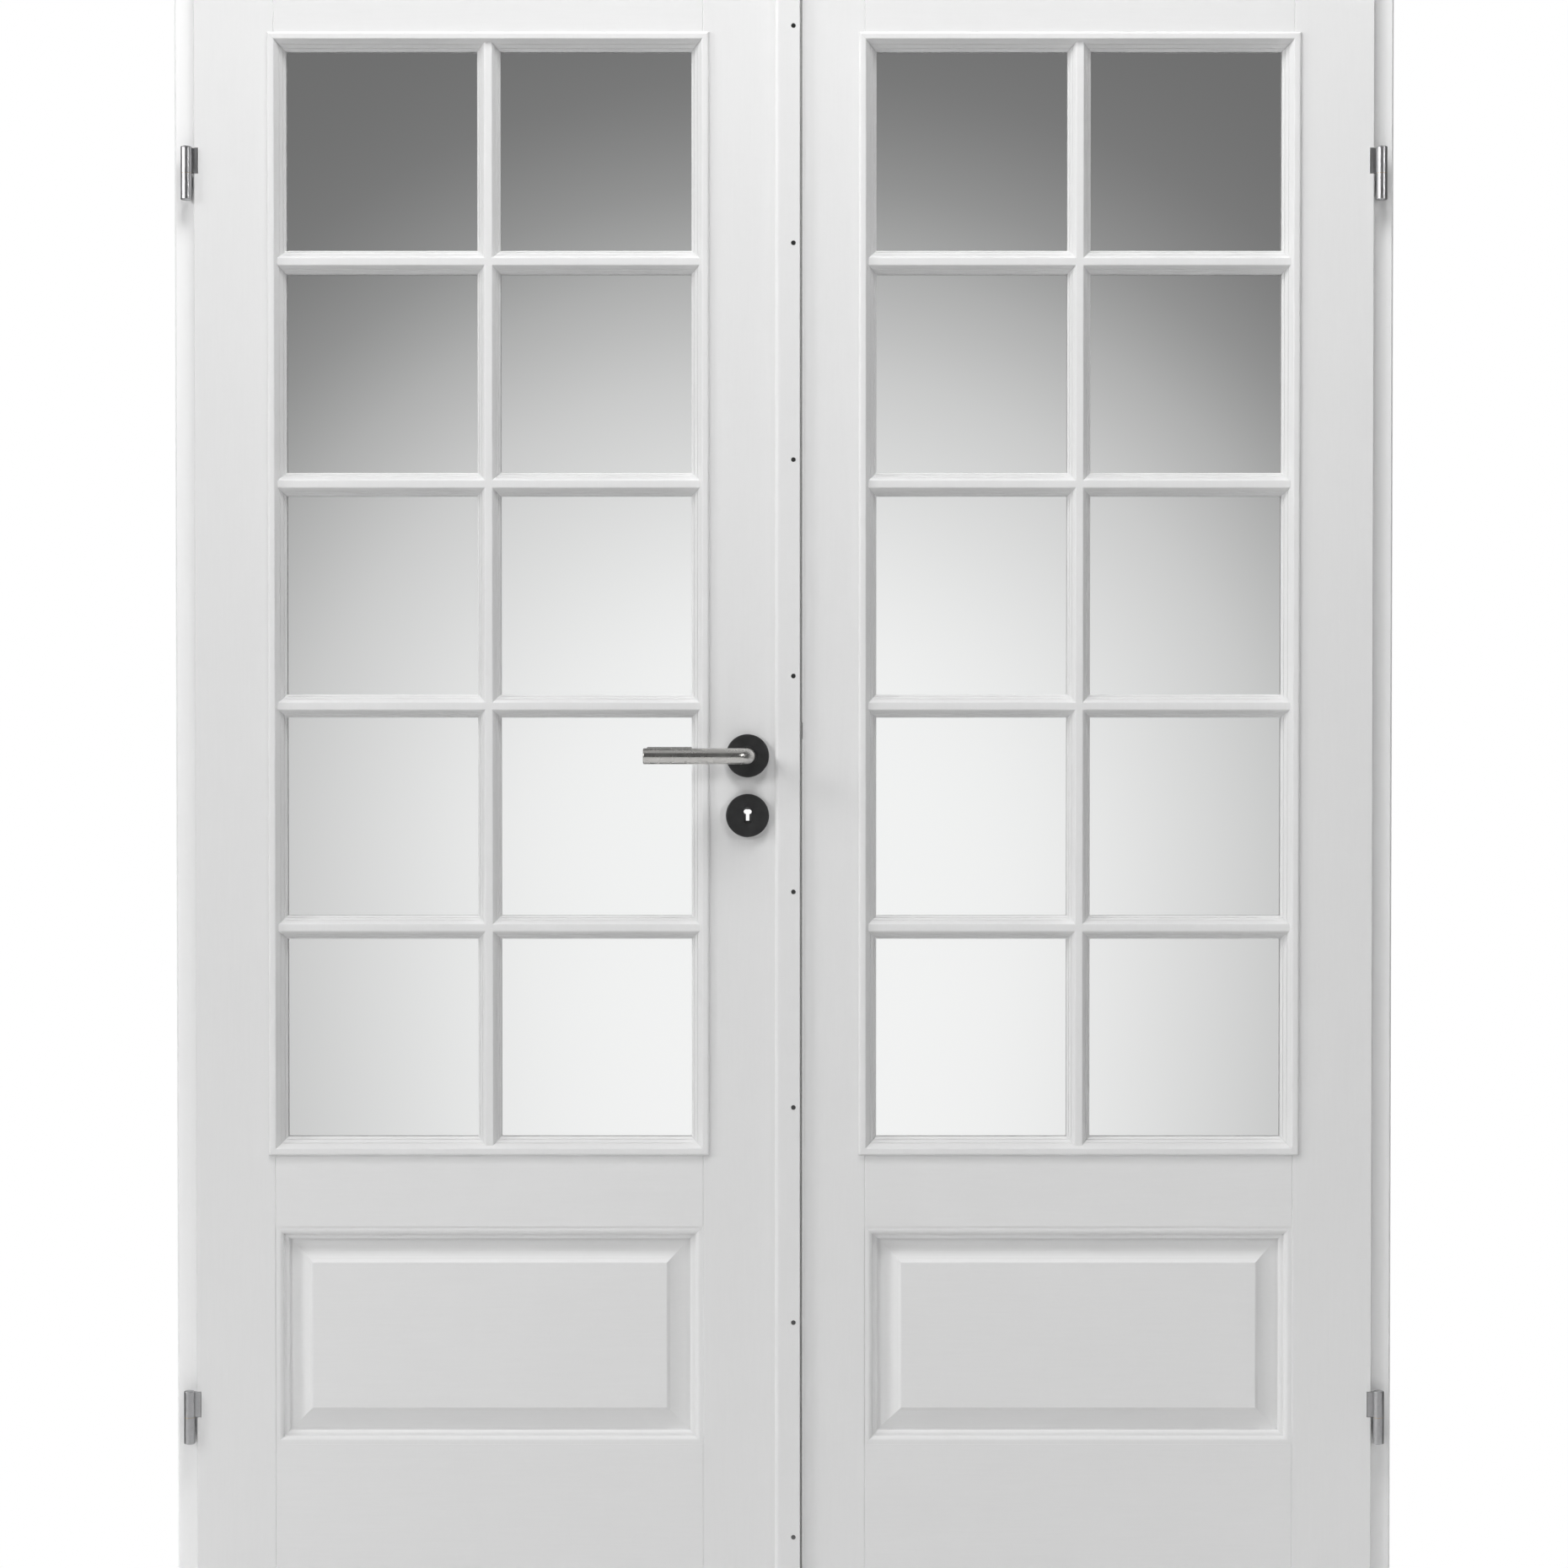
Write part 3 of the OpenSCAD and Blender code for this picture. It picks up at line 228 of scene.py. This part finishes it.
def dress_all():
    upright = white_lacquer("white_lacquer_upright", "upright", LEAF_WHITE)
    level = white_lacquer("white_lacquer_level", "level", LEAF_WHITE)
    frame_upright = white_lacquer("frame_lacquer_upright", "upright", FRAME_WHITE)
    frame_level = white_lacquer("frame_lacquer_level", "level", FRAME_WHITE)
    glass = clear_glass()
    rubber = pale_rubber()
    birch = bare_birch()
    zinc = plated_steel("zinc_plated_steel", (0.55, 0.55, 0.56))
    dark_zinc = plated_steel("dark_zinc_screws", (0.2, 0.2, 0.2))
    nickel = brushed_steel("brushed_nickel_plate", (1, 1, 0.02), (0.6, 0.6, 0.59), (0.26, 0.4))
    steel = brushed_steel("brushed_stainless_tube", (0.02, 1, 1), (0.62, 0.61, 0.59))
    graphite = turned_graphite()
    brass = cast_brass()
    for side in SIDES:
        for piece in WOOD_PIECES:
            dress(f"{side}_{piece}", level if piece in LEVEL_GRAIN else upright)
        dress(f"{side}_jamb", frame_upright)
        dress(f"{side}_glass", glass)
        dress(f"{side}_glazing_tape", rubber)
        dress(f"{side}_dowels", birch)
        dress(f"{side}_hinge_halves", zinc)
        dress(f"{side}_hinge_screws", zinc)
    for finish, nodes in (
            (frame_level, ("head_jamb", "threshold")),
            (upright, ("cover_strip",)),
            (rubber, ("frame_seal", "meeting_seal")),
            (zinc, ("frame_hinge_halves", "frame_hinge_screws", "strike_screws", "lock_case",
                    "lock_cover", "lever_spindle", "upper_bolt_rod", "lower_bolt_rod")),
            (dark_zinc, ("strip_screws",)),
            (nickel, ("lock_forend", "strike_plate", "bolt_plates", "bolt_keeps", "latch_bolt",
                      "deadbolt")),
            (steel, ("front_lever", "back_lever")),
            (graphite, ("lever_roses", "key_escutcheons")),
            (brass, ("lock_follower",))):
        for node in nodes:
            dress(node, finish)
    hinge_trim(zinc, brass)
    lever_trim(steel, zinc, graphite)
    forend_screws(zinc)


# ---- Small hardware ----

SMOOTH_ANGLE = math.radians(35)
WELD_REACH = 1e-7
HEAD_SIDES = 24
SOCKET_SIDES = 6
TURNED_SIDES = 40
BARREL_R = 0.0065                               # hinge barrels, as in the frame
HINGE_H = 0.030
HINGE_PLAY = 0.0005
SET_SCREW_R, SET_SCREW_H = 0.0024, 0.0007
SET_SCREW_OUT = 0.007                           # from the rose's face
SET_SCREW_SUNK = 0.0004
FOREND_SCREW_R, FOREND_SCREW_H = 0.0036, 0.0008
FOREND_SCREW_IN = 0.008                         # from each end of the forend
FOREND_SCREW_SUNK = 0.0006

# A driven screw head from its rim to its socket: sides, part of its radius, part of its height
HEAD_RINGS = ((HEAD_SIDES, 1.0, 0.0), (HEAD_SIDES, 1.0, 0.55), (HEAD_SIDES, 0.84, 1.0),
              (SOCKET_SIDES, 0.46, 1.0), (SOCKET_SIDES, 0.42, 0.2))

# Turned shapes, as points of radius and height
CAP_PROFILE = ((0.0066, 0.0), (0.0067, 0.0006), (0.0064, 0.0013), (0.0054, 0.0020),
               (0.0035, 0.0026), (0.0, 0.0028))
WASHER_PROFILE = ((0.0036, 0.00005), (0.0063, 0.00005), (0.0064, 0.0002), (0.0063, 0.00045),
                  (0.0036, 0.00045))
GRIP_CAP_PROFILE = ((0.0094, 0.0), (0.0094, 0.0004), (0.0091, 0.0009), (0.0085, 0.0012),
                    (0.0, 0.0012))
COLLAR_PROFILE = ((0.0096, 0.0), (0.0117, 0.0), (0.0117, 0.0006), (0.0112, 0.0011),
                  (0.0096, 0.0011))


def to_piece(bm, name):
    mesh = bpy.data.meshes.new(name)
    bm.to_mesh(mesh)
    bm.free()
    piece = bpy.data.objects.new(name, mesh)
    bpy.context.collection.objects.link(piece)
    return piece


def fitted(bm, name, body, material):
    """Finishes a small piece and hangs it on its body."""
    bmesh.ops.recalc_face_normals(bm, faces=bm.faces)
    for face in bm.faces:
        face.smooth = True
    piece = to_piece(bm, name)
    piece.data.set_sharp_from_angle(angle=SMOOTH_ANGLE)
    piece.data.materials.append(material)
    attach(piece, body)


def turn_profile(bm, profile, foot, way):
    """Spins (radius, height) points about an axis that starts at foot and runs along way."""
    foot, way = Vector(foot), Vector(way).normalized()
    across = way.orthogonal().normalized()
    verts = [bm.verts.new(foot + way * height + across * radius) for radius, height in profile]
    edges = [bm.edges.new(pair) for pair in zip(verts, verts[1:])]
    bmesh.ops.spin(bm, geom=verts + edges, cent=foot, axis=way, angle=math.tau,
                   steps=TURNED_SIDES, use_merge=True)
    bmesh.ops.remove_doubles(bm, verts=bm.verts, dist=WELD_REACH)


def driven_head(bm, foot, way, radius, height):
    """A low domed screw head with a six-sided socket sunk in its top."""
    foot, way = Vector(foot), Vector(way).normalized()
    place = Matrix.Translation(foot) @ way.to_track_quat("Z", "Y").to_matrix().to_4x4()

    def ring(sides, reach, rise):
        made = bmesh.ops.create_circle(bm, segments=sides, radius=radius * reach,
                                       matrix=place @ Matrix.Translation((0, 0, height * rise)))
        return list({edge for vert in made["verts"] for edge in vert.link_edges})

    rings = [ring(*shape) for shape in HEAD_RINGS]
    for outer, inner in zip(rings, rings[1:]):
        bmesh.ops.bridge_loops(bm, edges=outer + inner)
    bmesh.ops.holes_fill(bm, edges=bm.edges, sides=HEAD_SIDES)


def hinge_trim(zinc, brass):
    """Domed caps on the barrels and a thin washer between the halves of each hinge."""
    for side, turn in (("left", -1), ("right", 1)):
        low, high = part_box(f"{side}_hinge_halves")
        pin = (high.x if turn > 0 else low.x) - turn * BARREL_R
        pin_y = low.y + BARREL_R
        caps, feet, washers = bmesh.new(), bmesh.new(), bmesh.new()
        for top in (low.z + HINGE_H, high.z):
            turn_profile(caps, CAP_PROFILE, (pin, pin_y, top), (0, 0, 1))
            turn_profile(feet, CAP_PROFILE, (pin, pin_y, top - 2 * HINGE_H - HINGE_PLAY),
                         (0, 0, -1))
            turn_profile(washers, WASHER_PROFILE, (pin, pin_y, top - HINGE_H - HINGE_PLAY),
                         (0, 0, 1))
        fitted(caps, f"{side}_hinge_caps", f"{side}_leaf", zinc)
        fitted(feet, f"{side}_hinge_feet", "frame", zinc)
        fitted(washers, f"{side}_hinge_washers", "frame", brass)


def lever_trim(steel, zinc, graphite):
    """An end cap on each grip, a set screw under each neck and a collar at each rose."""
    rose_low, rose_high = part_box("lever_roses")
    for end, face, way in (("front", rose_low.y, -1), ("back", rose_high.y, 1)):
        low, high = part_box(f"{end}_lever")
        radius = (high.z - low.z) / 2
        axis_z = (high.z + low.z) / 2
        neck_x = high.x - radius
        grip_y = (low.y if way < 0 else high.y) - way * radius
        cap, screw, collar = bmesh.new(), bmesh.new(), bmesh.new()
        turn_profile(cap, GRIP_CAP_PROFILE, (low.x, grip_y, axis_z), (-1, 0, 0))
        driven_head(screw, (neck_x, face + way * SET_SCREW_OUT, axis_z - radius + SET_SCREW_SUNK),
                    (0, 0, -1), SET_SCREW_R, SET_SCREW_H)
        turn_profile(collar, COLLAR_PROFILE, (neck_x, face, axis_z), (0, way, 0))
        fitted(cap, f"{end}_grip_cap", "lever", steel)
        fitted(screw, f"{end}_set_screw", "lever", zinc)
        fitted(collar, f"{end}_rose_collar", "left_leaf", graphite)


def forend_screws(zinc):
    """The two countersunk screws that hold the lock's forend."""
    low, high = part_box("lock_forend")
    screws = bmesh.new()
    for height in (low.z + FOREND_SCREW_IN, high.z - FOREND_SCREW_IN):
        driven_head(screws, (high.x - FOREND_SCREW_SUNK, (low.y + high.y) / 2, height), (1, 0, 0),
                    FOREND_SCREW_R, FOREND_SCREW_H)
    fitted(screws, "forend_screws", "left_leaf", zinc)


# ---- Studio ----

LEAF_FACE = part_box("left_hinge_stile")[0].y     # front face of the leaves
VIEW_HEIGHT = 1.0389                            # where the camera's axis meets that face
VIEW_DISTANCE = 5.0
VIEW_WIDTH = 1.8904                             # width that the frame takes in there
VIEW_PITCH = math.radians(1.1)                  # looking down
SENSOR = 36.0


def make_camera():
    data = bpy.data.cameras.new("camera")
    data.sensor_width = SENSOR
    data.lens = SENSOR * VIEW_DISTANCE / VIEW_WIDTH
    camera = bpy.data.objects.new("camera", data)
    bpy.context.collection.objects.link(camera)
    target = Vector((0, LEAF_FACE, VIEW_HEIGHT))
    back = Vector((0, -math.cos(VIEW_PITCH), math.sin(VIEW_PITCH)))
    camera.location = target + back * VIEW_DISTANCE
    camera.rotation_euler = (-back).to_track_quat("-Z", "Y").to_euler()
    bpy.context.scene.camera = camera


def softbox(name, place, aim, size, power, shine):
    data = bpy.data.lights.new(name, "AREA")
    data.shape = "RECTANGLE"
    data.size, data.size_y = size
    data.energy = power
    light = bpy.data.objects.new(name, data)
    bpy.context.collection.objects.link(light)
    light.location = place
    light.visible_glossy = light.visible_transmission = shine
    light.rotation_euler = (Vector(aim) - Vector(place)).to_track_quat("-Z", "Y").to_euler()


# Softboxes: name, place, aim, size, power, and whether steel and glass show it
SOFTBOXES = (
    ("left_softbox", (-3.3, -3.5, 2.5), (0, 0, 1.1), (0.65, 0.65), 41, True),
    ("right_softbox", (3.5, -3.3, 2.6), (0, 0, 1.1), (0.8, 0.8), 32, True),
    ("top_softbox", (-0.1, -1.5, 4.1), (0, 0, 1.6), (1.6, 1.0), 70, False),
    ("raking_softbox", (-12.0, -4.8, 5.6), (0, 0, 1.2), (2.8, 4.0), 570, True),
    ("back_left_softbox", (-3.6, 3.4, 3.0), (0, 0, 1.1), (1.4, 1.4), 110, False),
    ("back_right_softbox", (3.2, 4.2, 2.4), (0, 0, 1.1), (1.4, 1.4), 60, False),
    ("back_top_softbox", (0.3, 1.6, 4.1), (0, 0, 1.6), (1.8, 1.0), 60, False),
)


def light_studio():
    for name, place, aim, size, power, shine in SOFTBOXES:
        softbox(name, place, aim, size, power, shine)


AMBIENT = 0.1                                   # what the white surround adds to every surface

# How bright the room behind the glass is, by how far a ray's way is from the pool's middle
ROOM_CENTRE = -0.04                             # height of the middle
ROOM_SIDE = 0.12                                # past this the pool keeps its tone sideways
ROOM_BELOW = 0.35                               # how much slower it darkens downwards
ROOM_STRENGTH = 1.04
ROOM_TONES = ((0.03, 0.9), (0.06, 0.87), (0.09, 0.74), (0.12, 0.6), (0.145, 0.42),
              (0.165, 0.28), (0.19, 0.175), (0.225, 0.15))
ROOM_REACH = 0.3

# What polished metal mirrors, from straight below (0) to straight above (1)
MIRROR_TONES = ((0.0, 0.27), (0.14, 0.27), (0.3, 0.16), (0.46, 0.05), (0.62, 0.16), (0.82, 0.06),
                (0.93, 0.62), (1.0, 0.45))


def fill_ramp(ramp, tones, reach=1.0):
    """Sets a colour ramp to grey tones at their places within reach."""
    while len(ramp.elements) < len(tones):
        ramp.elements.new(0.5)
    for element, (place, tone) in zip(ramp.elements, tones):
        element.position = place / reach
        element.color = (tone, tone, tone, 1)


def light_world():
    """White in view and a little light on everything; the panes show a soft pool of light
    and the steel a studio in bands."""
    world = bpy.data.worlds.new("studio")
    bpy.context.scene.world = world
    world.use_nodes = True
    nodes, links = world.node_tree.nodes, world.node_tree.links
    plain = nodes["Background"]
    plain.inputs["Color"].default_value = (1, 1, 1, 1)

    def math_node(operation, first, second=None):
        node = nodes.new("ShaderNodeMath")
        node.operation = operation
        for socket, value in zip(node.inputs, (first, second)):
            if value is None:
                continue
            if isinstance(value, (int, float)):
                socket.default_value = value
            else:
                links.new(value, socket)
        return node.outputs[0]

    way = nodes.new("ShaderNodeSeparateXYZ")
    links.new(nodes.new("ShaderNodeTexCoord").outputs["Generated"], way.inputs[0])
    side = math_node("MINIMUM", math_node("ABSOLUTE", way.outputs["X"]), ROOM_SIDE)
    rise = math_node("SUBTRACT", way.outputs["Z"], ROOM_CENTRE)
    rise = math_node("MAXIMUM", rise, math_node("MULTIPLY", rise, -ROOM_BELOW))
    far = math_node("SQRT", math_node("ADD", math_node("MULTIPLY", side, side),
                                      math_node("MULTIPLY", rise, rise)))
    pool = nodes.new("ShaderNodeValToRGB")
    links.new(math_node("DIVIDE", far, ROOM_REACH), pool.inputs["Fac"])
    pool.color_ramp.interpolation = "B_SPLINE"
    fill_ramp(pool.color_ramp, ROOM_TONES, ROOM_REACH)
    room = nodes.new("ShaderNodeBackground")
    links.new(pool.outputs["Color"], room.inputs["Color"])
    room.inputs["Strength"].default_value = ROOM_STRENGTH

    mirrored = nodes.new("ShaderNodeValToRGB")
    links.new(math_node("ADD", math_node("MULTIPLY", way.outputs["Z"], 0.5), 0.5),
              mirrored.inputs["Fac"])
    fill_ramp(mirrored.color_ramp, MIRROR_TONES)
    studio = nodes.new("ShaderNodeBackground")
    links.new(mirrored.outputs["Color"], studio.inputs["Color"])

    path = nodes.new("ShaderNodeLightPath")
    ambient = math_node("ADD", math_node("MULTIPLY", path.outputs["Is Camera Ray"],
                                         1 - AMBIENT), AMBIENT)
    links.new(ambient, plain.inputs["Strength"])

    def choose(ray, first, second):
        mix = nodes.new("ShaderNodeMixShader")
        links.new(path.outputs[ray], mix.inputs["Fac"])
        links.new(first.outputs[0], mix.inputs[1])
        links.new(second.outputs[0], mix.inputs[2])
        return mix

    seen = choose("Is Glossy Ray", plain, studio)
    seen = choose("Is Transmission Ray", seen, room)
    links.new(seen.outputs[0], nodes["World Output"].inputs["Surface"])


FLOOR_RADIUS = 2.7
FLOOR_BACK = 0.4                                # how far it goes behind the doors
FLOOR_DROP = 0.0005                             # below the threshold's foot
FLOOR_SEGMENTS = 128


def lay_floor():
    bm = bmesh.new()
    bmesh.ops.create_circle(bm, cap_ends=True, segments=FLOOR_SEGMENTS, radius=FLOOR_RADIUS)
    bmesh.ops.translate(bm, verts=bm.verts, vec=(0, FLOOR_BACK - FLOOR_RADIUS, -FLOOR_DROP))
    floor = to_piece(bm, "studio_floor")
    pale = Shader("pale_floor")
    cloud = pale.noise(pale.place, 1.2, 2.0)
    pale.finish(pale.tint(cloud, (0.86, 0.86, 0.86), (0.89, 0.89, 0.89)),
                pale.span(cloud, 0.55, 0.7))
    floor.data.materials.append(pale.material)


bpy.context.scene.view_settings.view_transform = "Standard"
make_camera()
dress_all()
lay_floor()
light_studio()
light_world()
